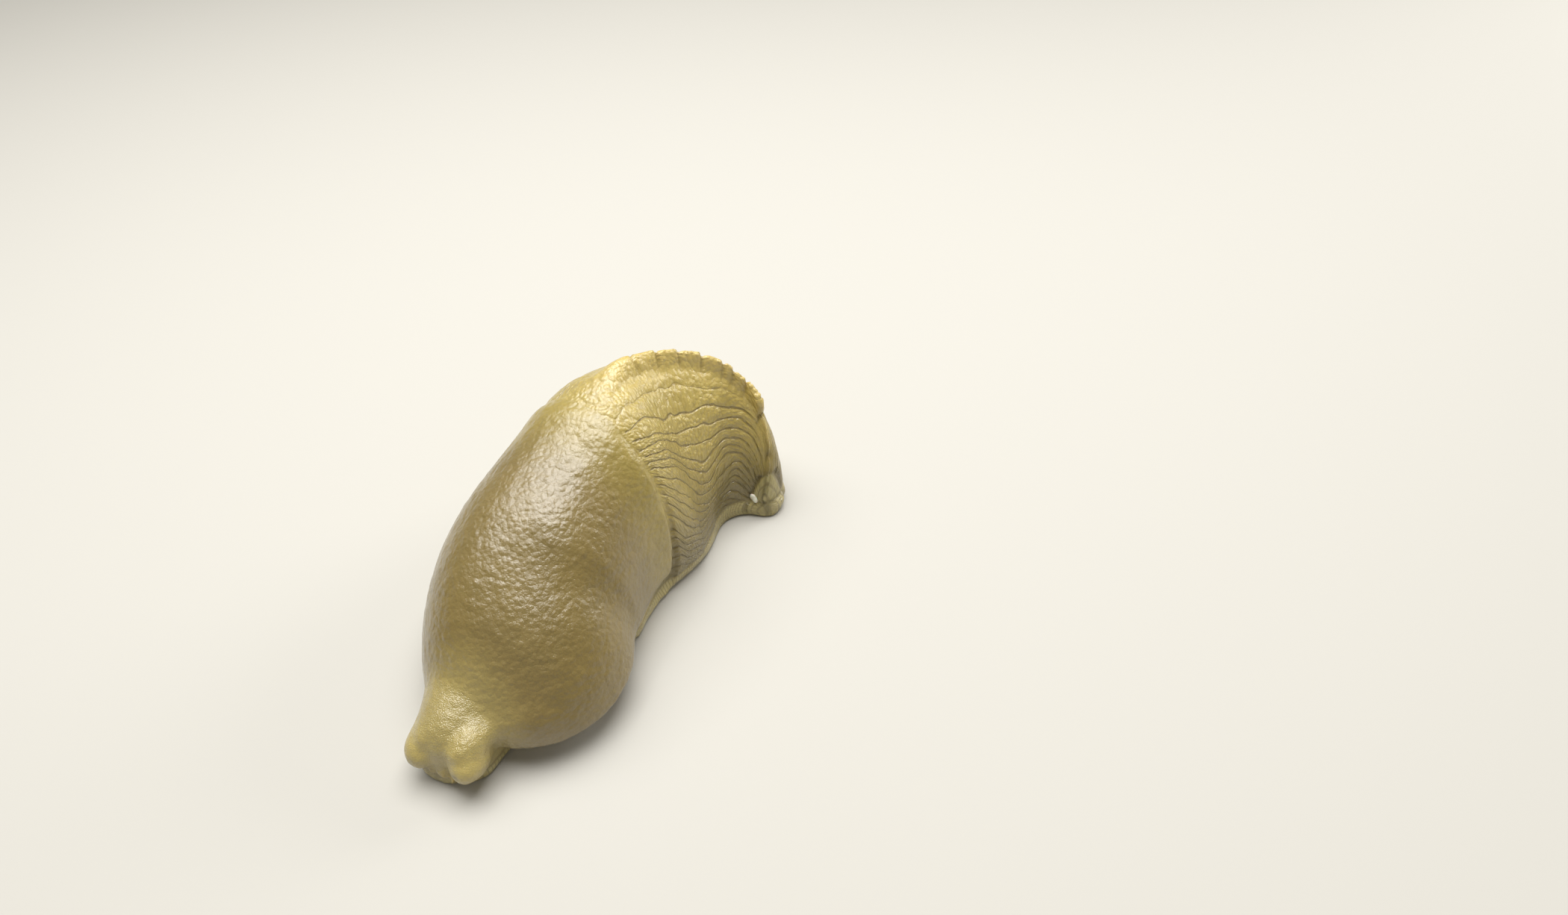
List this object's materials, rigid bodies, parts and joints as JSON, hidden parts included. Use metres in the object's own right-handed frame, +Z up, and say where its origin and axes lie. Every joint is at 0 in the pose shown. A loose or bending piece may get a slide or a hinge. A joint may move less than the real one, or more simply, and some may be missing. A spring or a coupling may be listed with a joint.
{
  "type": "banana slug model",
  "caption": "Still life-size model of a contracted banana slug, humped, head turned right and tail curled round, resting on its flat sole.",
  "frame": {"origin": "on the floor under the middle of the slug's box", "axes": "+Z up; the head points toward -Y, turned a little toward -X; the back runs toward +Y and the tail curls toward +X"},
  "size_m": [0.0614, 0.081, 0.039],
  "materials": {
    "mantle_skin": "smooth, finely granular, wet skin",
    "head_skin": "soft, finely pebbled, moist skin",
    "back_skin": "tubercled, moist skin with dark lengthwise grooves",
    "foot_skin": "pale, moist skin with fine dark cross lines on the skirt"
  },
  "bodies": {
    "root": {"mantle": "mantle_skin", "head": "head_skin", "neck": "head_skin", "tentacle_upper_left": "head_skin", "tentacle_upper_right": "head_skin", "tentacle_lower_left": "head_skin", "tentacle_lower_right": "head_skin", "trunk_front": "back_skin", "trunk_rear": "back_skin", "tail_root": "back_skin", "tail_tip": "back_skin", "foot_front": "foot_skin", "foot_middle": "foot_skin", "foot_rear": "foot_skin", "foot_tail": "foot_skin"}
  },
  "joints": []
}
